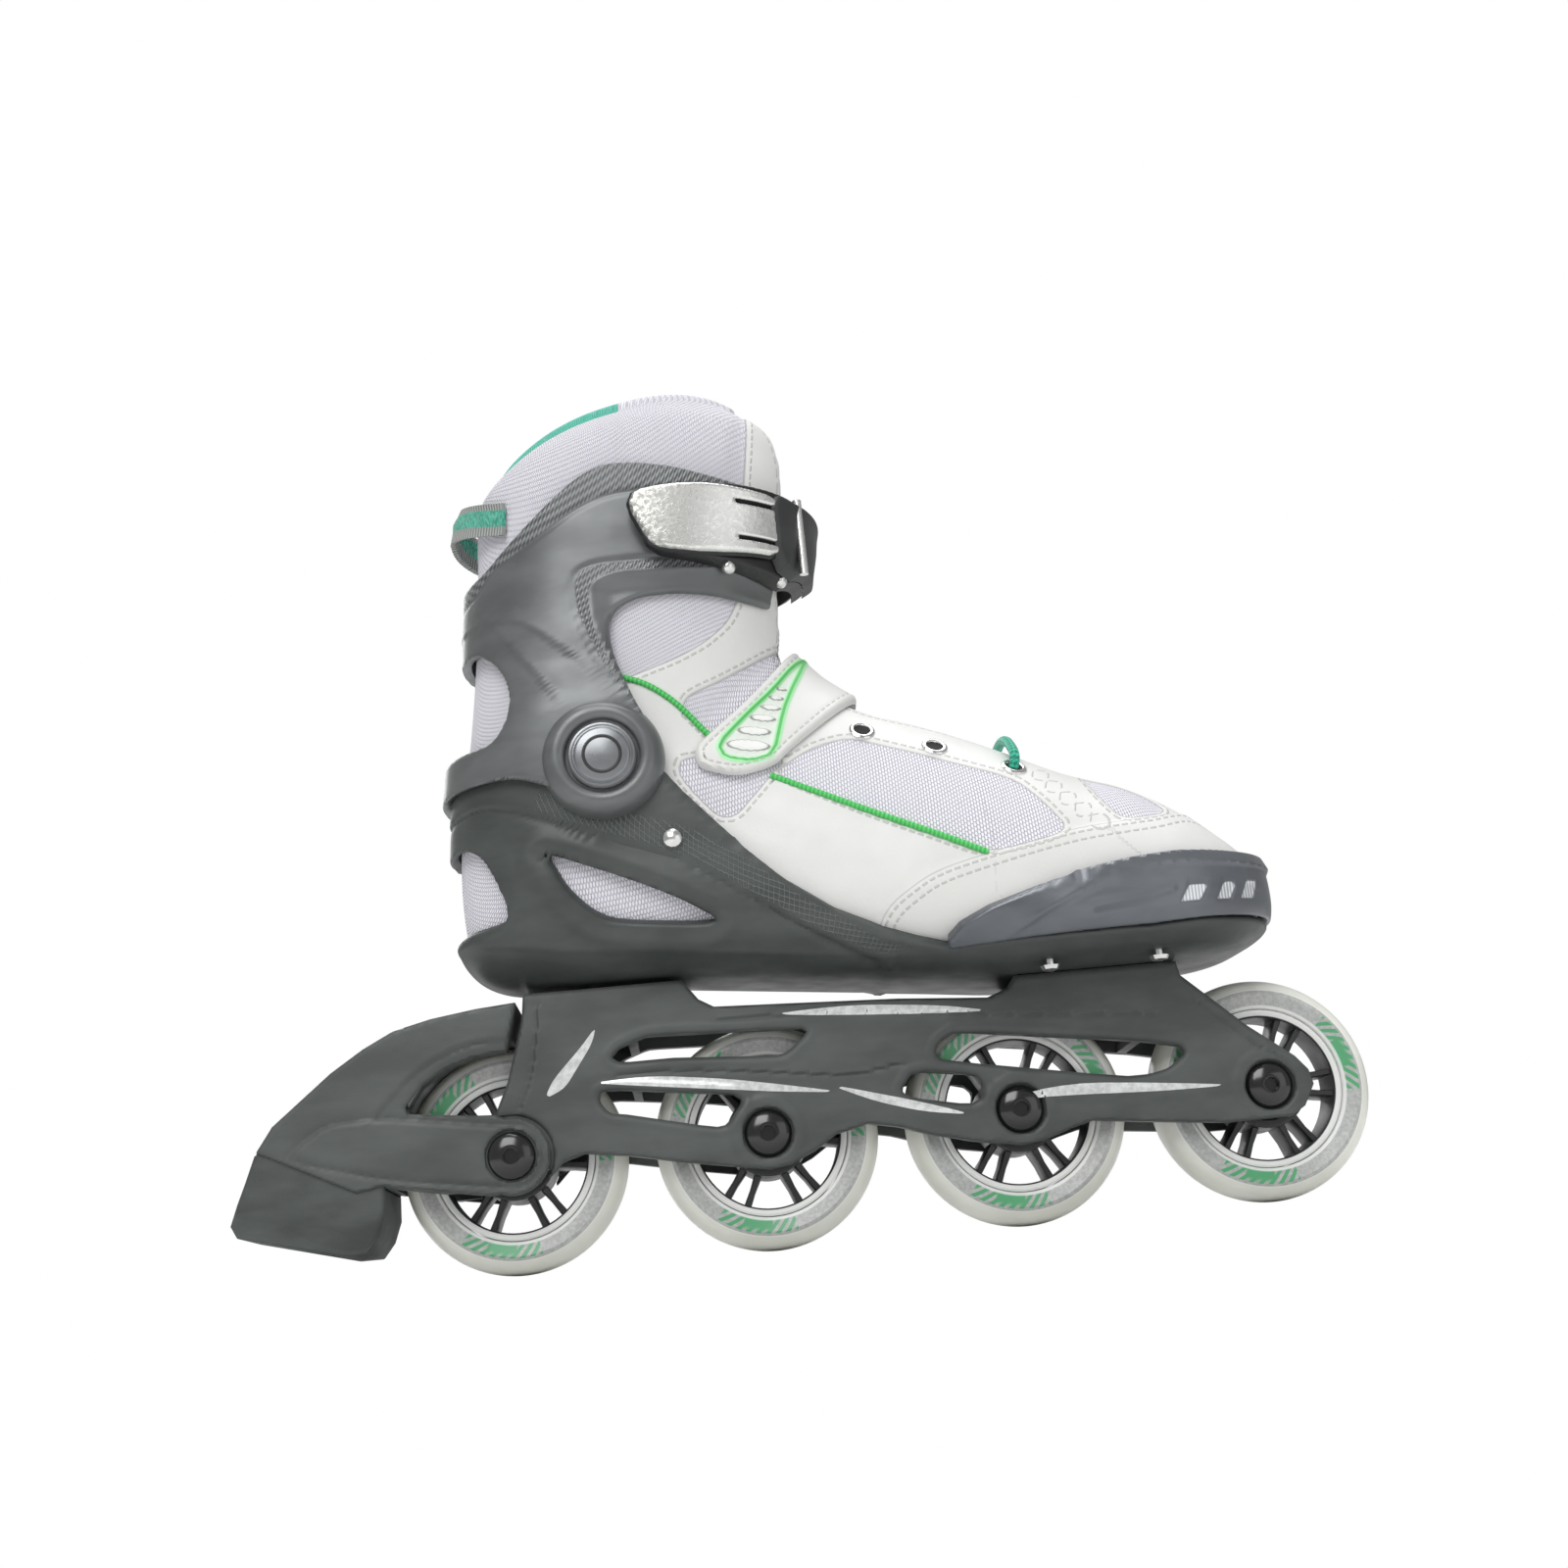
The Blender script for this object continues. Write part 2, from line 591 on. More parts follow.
HOLE_RADIUS = SLEEVE_RADIUS + 0.45
FRAME_TOP = [
    (-121, 92), (-67, 92), (-62, 85), (-57, 82), (-35, 81), (5, 79), (36, 76.5), (43, 79), (46, 83),
    (102, 83),
]
FRAME_FRONT = [(103, 78), (123, 59), (138, 47), (142, 42), (143, 37), (139, 30), (134, 27)]
FRAME_BOTTOM = [
    (112, 27), (83, 30), (67, 32), (59, 30), (50, 27), (42, 26), (25, 29), (10, 33), (1, 36), (-9, 38),
    (-20, 35.5), (-27, 31), (-36, 27), (-43, 26), (-71, 31), (-90, 35), (-104, 37), (-111, 35),
]
FRAME_REAR = [(-133, 52), (-128, 63), (-125, 73), (-122, 83)]
FRAME_WINDOWS = [
    [
        (-93, 68), (-90, 71), (-81, 74), (-77, 74), (-28, 72), (-26, 70.5), (-34, 64), (-38, 63.5),
        (-72, 66), (-90, 66),
    ],
    [
        (-98, 54), (-97, 57), (-91, 57), (-53, 52), (-50, 49.5), (-56, 42), (-60, 41.5), (-89, 48.5),
        (-95, 49.5),
    ],
    [(3, 47.5), (8, 54), (28, 51), (31, 48), (30, 43), (26, 41), (7, 45)],
    [
        (16, 59), (18, 63), (24, 66), (86, 57), (100, 54), (101, 51.5), (95, 47), (88, 45.5), (79, 45.5),
        (19, 56.5),
    ],
]


# The mounting bolts' heads sit above the gaps between wheels, beside the webs.
MOUNT_BEHIND_WEB = 12.7  # each mount bolt stands this far behind the web between two wheels
MOUNT_AHEAD = AXLE_SPACING / 2 - MOUNT_BEHIND_WEB
MOUNTS = {
    "rear": (REAR_AXLE_X + MOUNT_AHEAD, DECK_Z),
    "front": (AXLES_X[-2] + MOUNT_AHEAD, FRONT_DECK_Z),
}


def mirrored_rods(name, radius, x, z, near, far, steps=14):
    """Two bars along Y, from near to far on each side."""
    return [
        rod(name, radius, (x, sign * near, z), (x, sign * far, z), steps) for sign in (-1, 1)
    ]


def make_frame():
    axle = (REAR_AXLE_X, AXLE_Z)
    outline = placed(FRAME_TOP + FRAME_FRONT + FRAME_BOTTOM, frame_xz)
    outline += arc(axle, 12.5, -25, -200, 8)
    outline += placed(FRAME_REAR, frame_xz)
    windows = [placed(window, frame_xz) for window in FRAME_WINDOWS]
    frame = plate("frame", outline, -FRAME_HALF_WIDTH, FRAME_HALF_WIDTH, windows)
    # The hollow leaves a plate at each end, and is open at the top between them, where the tyres nearly fill
    # it.
    rear_under, front_under = DECK_Z - DECK_THICKNESS, FRONT_DECK_Z - DECK_THICKNESS
    under = [
        (TAIL_X, rear_under),
        (REAR_PLATE_X[1] - 2, rear_under),
        (REAR_PLATE_X[1] + 3, DECK_Z + 40),
        (FRONT_PLATE_X[0] - 1, DECK_Z + 40),
        (FRONT_PLATE_X[0] + 3, front_under),
        (NOSE_X, front_under),
        (NOSE_X, -5),
        (TAIL_X, -5),
    ]
    hollow = plate("hollow", under, -FRAME_INSIDE, FRAME_INSIDE)
    for left, right in zip(AXLES_X, AXLES_X[1:]):
        middle = (left + right) / 2
        web = block("web", (middle - 1.5, -30, AXLE_Z + 14), (middle + 1.5, 30, DECK_Z + 60))
        hollow = cut(hollow, web)
    frame = cut(frame, hollow)
    for x in AXLES_X:
        boss_near = WHEEL_HALF + GAP
        frame = join(frame, *mirrored_rods("boss", 6.5, x, AXLE_Z, boss_near, FRAME_INSIDE + 1, 12))
        frame = cut(frame, rod("axle_hole", HOLE_RADIUS, (x, -40, AXLE_Z), (x, 40, AXLE_Z), 16))
        if x != REAR_AXLE_X:
            low = FRAME_HALF_WIDTH - COUNTERBORE
            frame = cut(frame, *mirrored_rods("seat", BOLT_HEAD_RADIUS + 1, x, AXLE_Z, low, 30, 16))
    for x, top in MOUNTS.values():
        frame = cut(frame, rod("mount_hole", MOUNT_BOLT_RADIUS + GAP, (x, 0, top - 12), (x, 0, top + 5), 14))
    finish_piece(frame, "frame", FRAME_GREY)


def make_mount_bolts():
    """The two bolts that hold the frame to the shell's sole."""
    for name, (x, top) in MOUNTS.items():
        head_top = top - DECK_THICKNESS - GAP
        head_low = head_top - MOUNT_BOLT_HEAD_HEIGHT
        end = sole_z(x) + SHELL_OUTSIDE - SHELL_INSIDE - GAP
        profile = [
            (0, end),
            (MOUNT_BOLT_RADIUS, end),
            (MOUNT_BOLT_RADIUS, head_top),
            (MOUNT_BOLT_HEAD_RADIUS, head_top),
            (MOUNT_BOLT_HEAD_RADIUS, head_low),
            (HEX_RADIUS, head_low),
            (HEX_RADIUS, head_low + HEX_DEPTH),
            (0, head_low + HEX_DEPTH),
        ]
        finish_piece(turned("bolt", profile, 14, (x, 0, 0), "Z"), f"mount_bolt_{name}", STEEL)


# ---------------------------------------------------------------- brake

BRAKE_BODY = [
    (4.5, 51), (-9, 50), (-24, 48), (-37, 45), (-47, 40), (-58, 33), (-68, 25), (-78, 17), (-84, 9),
    (-51.3, -7.5), (-43, -6), (-22, -10),
]
BRAKE_WELL = [(-4, 14), (-12, 14.5), (-33, 17), (-33, 19), (-28, 26), (-20, 31), (-10, 34), (0.5, 35)]
PAD_BODY = [
    (-84.3, 8.5), (-88, -1), (-90.5, -7), (-93, -14), (-91, -18), (-57, -27), (-49, -27), (-45, -22),
    (-42.5, -15), (-42.3, -6.5), (-51.3, -8.1),
]
BRAKE_SCREW_X = -66.0


def make_brake():
    half = REAR_SEAT
    outline = placed(BRAKE_BODY, brake_xz)
    outline += arc((REAR_AXLE_X, AXLE_Z), 12.8, -130, 105, 12)
    outline += placed(BRAKE_WELL, brake_xz)
    bracket = plate("bracket", outline, -half, half)
    wide = FRAME_HALF_WIDTH + GAP
    frame_room = block("frame_room", (REAR_AXLE_X - 14, -wide, 0), (REAR_AXLE_X + 30, wide, AXLE_Z + 24))
    well = rod("well", WHEEL_RADIUS + TYRE_CLEARANCE, (REAR_AXLE_X, -FRAME_INSIDE, AXLE_Z),
               (REAR_AXLE_X, FRAME_INSIDE, AXLE_Z), 28)
    axle_hole = rod("axle_hole", HOLE_RADIUS, (REAR_AXLE_X, -40, AXLE_Z), (REAR_AXLE_X, 40, AXLE_Z), 14)
    x = REAR_AXLE_X + BRAKE_SCREW_X
    screw_top = AXLE_Z + 14.0
    screw_hole = rod("screw_hole", BRAKE_BOLT_RADIUS + GAP, (x, 0, 0), (x, 0, screw_top + GAP), 12)
    waist = [block("waist", (TAIL_X - 5, s * 18.4, 0), (REAR_AXLE_X - 33, s * 30, 100)) for s in (1,)]
    waist += [block("waist", (TAIL_X - 5, -30, 0), (REAR_AXLE_X - 33, -18.4, 100))]
    bracket = cut(bracket, frame_room, well, axle_hole, screw_hole, *waist)
    finish_piece(bracket, "brake_bracket", FRAME_GREY)

    pad = plate("pad", placed(PAD_BODY, brake_xz), -PAD_HALF_WIDTH, PAD_HALF_WIDTH)
    head_low, head_top = AXLE_Z - 17.0, AXLE_Z - 13.0
    pad = cut(
        pad,
        rod("screw_hole", BRAKE_BOLT_RADIUS + GAP, (x, 0, 0), (x, 0, 60), 12),
        rod("head_hole", 6.5, (x, 0, 0), (x, 0, head_top + GAP), 14),
    )
    finish_piece(bevelled(pad, 0.8, 1, 50), "brake_pad", BRAKE_RUBBER)
    profile = [(0, screw_top), (BRAKE_BOLT_RADIUS, screw_top), (BRAKE_BOLT_RADIUS, head_top), (5.5, head_top),
               (5.5, head_low), (0, head_low)]
    finish_piece(turned("screw", profile, 12, (x, 0, 0), "Z"), "brake_screw", STEEL)


# ---------------------------------------------------------------- shell, bumper and cuff

FAR = 60.0  # how far a side-view cutter reaches each way
SHELL_REAR = [(-175, 40), (-175, 72), (-101, 72)]
SHELL_FRONT = [
    (-73.5, 73), (-67, 68), (-61, 60), (-48, 45), (-41, 37), (-30, 26), (-15, 14), (0, 6), (12, 1.5),
    (22, -1.5), (90, -1.5), (110, 0), (175, 1.5), (175, -40), (-175, -40),
]
SHELL_WINDOWS = [
    [(-110, 43), (-108, 40), (-103, 30), (-96, 22), (-88, 17.5), (-52, 13.5), (-66, 23), (-82, 31)],
    [(-138, 50), (-131, 44), (-127, 37), (-123, 26), (-122, 23), (-138, 22)],
]
BUMPER_LINE = [
    (22, -1.0), (22, 0), (30, 6), (42, 12), (56, 16), (73, 21), (87, 23), (101, 24), (121, 23.5), (175, 26),
    (175, 2.0), (110, 0.5), (90, -1.0),
]
CUFF_LINE = [
    (-175, 69.5), (-125, 69.5), (-116, 68.5), (-106, 64.5), (-97, 60), (-86, 56), (-79, 56), (-73, 59),
    (-69, 65), (-67, 73), (-69, 80), (-73, 87), (-75, 92), (-80, 104), (-82, 115), (-81, 122), (-77, 128),
    (-70, 131), (-57, 132), (-43, 131), (-27, 128), (-16, 130), (-10, 160), (-24, 170), (-41, 174),
    (-54, 178), (-69, 180), (-79, 180), (-87, 177), (-96, 171), (-106, 163), (-115, 156), (-124, 149),
    (-132, 147), (-175, 146),
]
CUFF_NOTCH = [
    (-175, 84), (-132, 82.5), (-126, 83), (-122, 86), (-118.5, 92), (-117.5, 99), (-119, 107), (-123, 114),
    (-130, 120), (-175, 124),
]
CUFF_FRONT_GAP = 21.0


def side_prism(name, points, place=boot_xz):
    return plate(name, placed(points, place), -FAR - 20, FAR + 20)


def wall_piece(name, outline, inside, outside):
    """The part of a wall round the boot, between two offsets from it, that a side view's outline takes in."""
    outer = keep(boot_form(name, 0, LAST_SECTION, outside), side_prism("side", outline), solver="MANIFOLD")
    return cut(outer, boot_form("inner", 0, LAST_SECTION - 0.5, inside, lift=30.0), solver="MANIFOLD")


def cuff_inside(s, angle):
    """How far the cuff's inner face stands off the boot: further below, where it covers the shell."""
    low, high = boot_xz(0, 92)[1], boot_xz(0, 112)[1]
    share = min(1.0, max(0.0, (boot_point(s, angle).z - low) / (high - low)))
    share = share * share * (3 - 2 * share)
    return CUFF_INSIDE_LOW + (CUFF_INSIDE_HIGH - CUFF_INSIDE_LOW) * share


def cuff_outside(s, angle):
    return cuff_inside(s, angle) + CUFF_WALL


def make_shell():
    ear = arc((-87, 73), EAR_RADIUS, 180, 5, 8)
    shell = wall_piece("shell", SHELL_REAR + ear + SHELL_FRONT, SHELL_INSIDE, SHELL_OUTSIDE)
    shell = cut(shell, *[side_prism("window", window) for window in SHELL_WINDOWS], solver="MANIFOLD")
    pins = mirrored_rods("pin_hole", PIVOT_PIN_RADIUS + GAP, PIVOT_X, PIVOT_Z, 20, 70, 15)
    bolts = [
        rod("bolt_hole", MOUNT_BOLT_RADIUS + GAP, (x, 0, top - 5), (x, 0, top + 12), 14) for x,
        top in MOUNTS.values()
    ]
    screws = [
        rod("screw_hole", TOE_SCREW_RADIUS + GAP, (x, y, sole_z(x) - 3), (x, y, sole_z(x) + 8), 8)
        for x, y in toe_screw_places()
    ]
    rivets = mirrored_rods("rivet_hole", 2.0 + GAP, RIVET_X, RIVET_Z, 20, 70, 10)
    shell = cut(shell, *pins, *bolts, *screws, *rivets, solver="MANIFOLD")
    finish_piece(shell, "base_shell", FRAME_GREY)

    bumper = wall_piece("bumper", BUMPER_LINE, SHELL_INSIDE, BUMPER_OUTSIDE)
    finish_piece(bumper, "toe_bumper", BUMPER_GREY)


TOE_SCREW_RADIUS = 1.4
TOE_SCREW_HEAD = 3.4
RIVET_X, RIVET_Z = boot_xz(-66.0, 43.5)


def toe_screw_places():
    return [(boot_xz(x, 0)[0], y * BOOT_WIDTH / DRAWN_WIDTH) for x in (56.0, 93.0) for y in (-34.0, 34.0)]


def make_fasteners():
    for number, (x, y) in enumerate(toe_screw_places(), 1):
        low = sole_z(x) - GAP
        profile = [
            (0, low + SHELL_OUTSIDE - SHELL_INSIDE),
            (TOE_SCREW_RADIUS, low + SHELL_OUTSIDE - SHELL_INSIDE),
            (TOE_SCREW_RADIUS, low),
            (TOE_SCREW_HEAD, low - 0.3),
            (TOE_SCREW_HEAD * 0.8, low - 1.6),
            (TOE_SCREW_HEAD * 0.3, low - 2.2),
            (0, low - 2.2),
        ]
        finish_piece(turned("screw", profile, 8, (x, y, 0), "Z"), f"toe_screw_{number}", STEEL)


def side_fastener(name, profile, x, z, sign, steps, finish):
    """A turned piece along Y. Its profile runs from the outside in, with distances from the skate's
    middle."""
    piece = turned(name, profile, steps, (0, 0, 0), "Z")
    piece.rotation_euler.x = -sign * math.pi / 2
    piece.location = Vector((x, 0, z)) * MM
    finish_piece(bake(piece), name, finish)


def make_rivets():
    form = boot_form("probe", 0, LAST_SECTION, SHELL_OUTSIDE)
    out = side_y(form, RIVET_X, RIVET_Z) + 0.8
    bpy.data.objects.remove(form, do_unlink=True)
    for side, sign in (("outer", -1), ("inner", 1)):
        dome = [(RIVET_RADIUS * math.sin(a),
            out + 2.6 * math.cos(a)) for a in [math.radians(v) for v in (0, 30, 60, 90)]]
        profile = [*dome, (2.0, out), (2.0, out - 4.0), (0, out - 4.0)]
        side_fastener(f"shell_rivet_{side}", profile, RIVET_X, RIVET_Z, sign, 14, STEEL)


cuff_axis = joint_empty("cuff_axis", PIVOT_X, 0, PIVOT_Z)


def make_cuff():
    cuff = wall_piece("cuff", CUFF_LINE, cuff_inside, cuff_outside)
    wall_out = side_y(cuff, PIVOT_X, PIVOT_Z)
    boss_out = wall_out + BOSS_PROUD
    bosses = mirrored_rods("boss", BOSS_RADIUS, PIVOT_X, PIVOT_Z, wall_out - 1.6, boss_out, 22)
    cuff = join(cuff, *bosses, solver="MANIFOLD")
    floor = boss_out - BOSS_RECESS
    front = block("front", (PIVOT_X + 40, -CUFF_FRONT_GAP, PIVOT_Z), (120, CUFF_FRONT_GAP, PIVOT_Z + 180))
    cuff = cut(
        cuff,
        side_prism("notch", CUFF_NOTCH),
        front,
        *mirrored_rods("recess", BOSS_RECESS_RADIUS, PIVOT_X, PIVOT_Z, floor, 80, 20),
        *mirrored_rods("pin_hole", PIVOT_PIN_RADIUS + GAP, PIVOT_X, PIVOT_Z, 20, 80),
        solver="MANIFOLD",
    )
    finish_piece(cuff, "cuff", CUFF_GREY, cuff_axis)

    inner_end = BOOT_HALF_AT_PIVOT + SHELL_INSIDE + GAP
    for side, sign in (("outer", -1), ("inner", 1)):
        low = floor + GAP
        high = low + PIVOT_CAP_HEIGHT
        profile = [
            (0, high),
            (PIVOT_CAP_RADIUS - 2.4, high),
            (PIVOT_CAP_RADIUS - 2.0, high - 0.5),
            (PIVOT_CAP_RADIUS - 0.6, high - 0.5),
            (PIVOT_CAP_RADIUS, high - 1.2),
            (PIVOT_CAP_RADIUS, low),
            (PIVOT_PIN_RADIUS, low),
            (PIVOT_PIN_RADIUS, inner_end),
            (0, inner_end),
        ]
        side_fastener(f"pivot_cap_{side}", profile, PIVOT_X, PIVOT_Z, sign, 20, LEVER_SILVER)


# ---------------------------------------------------------------- soft boot

SPLIT_GAP = 0.6
SPLIT_LOW_DEG = 35.0
SPLIT_HIGH_DEG = SPLIT_LOW_DEG + CUFF_FORWARD_DEG + 1.5
TONGUE_HALF = 17.0
TONGUE_FROM = [(52, 40), (52, 120), (-10, 220), (-62, 220), (-62, 150), (-36, 112), (-30, 90), (20, 60)]


def split_region(name, radius, front_deg, above):
    """One side of the boot's split, seen from the side. The split is a circle round the pivot and two
    rays from it."""
    front = math.radians(front_deg)
    far = 330.0
    region = arc((PIVOT_X, PIVOT_Z), radius, 180, front_deg, 16)
    region += [(PIVOT_X + far * math.cos(front), PIVOT_Z + far * math.sin(front))]
    if above:
        region += [(PIVOT_X, PIVOT_Z + 2 * far), (PIVOT_X - far, PIVOT_Z + far)]
    else:
        region += [(PIVOT_X + far, PIVOT_Z - far), (PIVOT_X - far, PIVOT_Z - far)]
    region += [(PIVOT_X - far, PIVOT_Z)]
    return plate(name, region, -FAR - 20, FAR + 20)


SOFT = "MANIFOLD"  # EXACT drops faces of these close, curved walls


def make_soft_boot():
    boot = boot_form("boot", 0, LAST_SECTION, 0.0)
    boot = cut(boot, boot_form("inside", 2.3, LAST_SECTION - 0.5, -LINING, lift=30.0), solver=SOFT)
    tongue_room = plate("tongue_room", placed(TONGUE_FROM, boot_xz), -TONGUE_HALF - GAP, TONGUE_HALF + GAP)
    tongue_core = plate("tongue_core", placed(TONGUE_FROM, boot_xz), -TONGUE_HALF, TONGUE_HALF)
    rear_limit = copy_of(tongue_core, "rear_limit")
    tongue_core.data.transform(Matrix.Translation(Vector((-GAP, 0, GAP)) * MM))
    rear_limit.data.transform(Matrix.Translation(Vector((GAP, 0, GAP)) * MM))
    tongue = keep(copy_of(boot, "tongue"), tongue_core, solver=SOFT)
    tongue = keep(tongue, rear_limit, solver=SOFT)
    boot = cut(boot, tongue_room, solver=SOFT)
    low = split_region("low", SPLIT_RADIUS - SPLIT_GAP / 2, SPLIT_LOW_DEG, above=False)
    high = split_region("high", SPLIT_RADIUS + SPLIT_GAP / 2, SPLIT_HIGH_DEG, above=True)
    collar = keep(copy_of(boot, "collar"), copy_of(high, "high_a"), solver=SOFT)
    upper = keep(boot, copy_of(low, "low_a"), solver=SOFT)
    tongue_top = keep(copy_of(tongue, "tongue_top"), high, solver=SOFT)
    tongue_low = keep(tongue, low, solver=SOFT)
    upper = cut(upper, *[eyelet_hole(place, EYELET_HOLE) for place in EYELETS], solver=SOFT)
    finish_piece(upper, "upper", WHITE_VINYL)
    finish_piece(collar, "collar", MESH_FABRIC, cuff_axis)
    finish_piece(tongue_low, "tongue_lower", WHITE_VINYL)
    finish_piece(tongue_top, "tongue_upper", WHITE_VINYL, cuff_axis)

    insole = boot_form("insole", 2.7, LAST_SECTION, -LINING - GAP - 0.4)
    top = [(x, sole_z(x) + SHELL_OUTSIDE + LINING + GAP + INSOLE_THICKNESS) for x in range(-160, 150, 10)]
    region = top + [(145, 0), (-160, 0)]
    insole = keep(insole, plate("insole_side", region, -FAR, FAR), solver=SOFT)
    finish_piece(insole, "insole", LINING_GREY)


EYELETS = [(s, sign * math.radians(40)) for s in (9.05, 8.0, 6.85) for sign in (1, -1)]


def surface_frame(s, angle, grow=0.0):
    """A point on the boot and the direction out of it."""
    here = boot_point(s, angle, grow)
    along = boot_point(s + 0.05, angle, grow) - here
    across = boot_point(s, angle + 0.02, grow) - here
    normal = along.cross(across).normalized()
    middle = (boot_point(s, 0, 0) + boot_point(s, math.pi, 0)) / 2
    if normal.dot(here - middle) < 0:
        normal = -normal
    return here, normal


def eyelet_hole(place, radius):
    here, normal = surface_frame(*place)
    return rod("eyelet_hole", radius, here - normal * 12, here + normal * 6, 10)


def make_eyelets():
    for number, place in enumerate(EYELETS, 1):
        here, normal = surface_frame(*place)
        barrel = EYELET_HOLE - GAP
        bore = barrel - 0.5
        profile = [(bore, 1.5), (EYELET_FLANGE - 1, 1.5), (EYELET_FLANGE, 0.8), (barrel, 0.8), (barrel, -5.0),
                   (bore, -5.0)]
        piece = turned("eyelet", profile, 10, (0, 0, 0), "Z")
        piece.rotation_mode = "QUATERNION"
        piece.rotation_quaternion = normal.to_track_quat("Z", "Y")
        piece.location = here * MM
        finish_piece(bake(piece), f"eyelet_{number}", STEEL)



def section_at_height(angle, z, grow=0.0):
    """The section whose point at this angle, grow outside the boot, is at height z in the shaft or ankle."""
    low, high = 6.0, float(LAST_SECTION)
    for _ in range(30):
        middle = (low + high) / 2
        if boot_point(middle, angle, grow).z < z:
            low = middle
        else:
            high = middle
    return (low + high) / 2


def level_band(name, rows, inside, outside):
    """A strap round the boot between two heights. rows lists (angle in degrees, low z, high z)."""
    along = []
    for degrees, low, high in rows:
        angle = math.radians(degrees)
        edges = [section_at_height(angle, z, (inside + outside) / 2) for z in (low, high)]
        along.append((angle, *edges))
    return boot_band(name, along, inside, outside)


def shaft_z(z):
    return boot_xz(0, z)[1]


STRAP_LOW, STRAP_HIGH = shaft_z(145.5), shaft_z(162.5)
BUCKLE_LOW, BUCKLE_HIGH = shaft_z(138.0), shaft_z(167.0)
LEVER_LOW, LEVER_HIGH = shaft_z(143.5), shaft_z(164.5)
CUFF_OUTSIDE_HIGH = CUFF_INSIDE_HIGH + CUFF_WALL
STRAP_INSIDE = CUFF_OUTSIDE_HIGH + BUCKLE_PLATE + 4 * GAP
LEVER_INSIDE = STRAP_INSIDE + STRAP_THICKNESS + 2.0
PIN_DEG = 27.0
PIN_OUT = LEVER_INSIDE + 2.8
BRIDGE_ANGLE = 0.18  # from the pin to where the lever starts, on a boot as wide as drawn


def degree_rows(start, end, step, low, high):
    count = round(abs(end - start) / step)
    return [(start + (end - start) * i / count, low, high) for i in range(count + 1)]


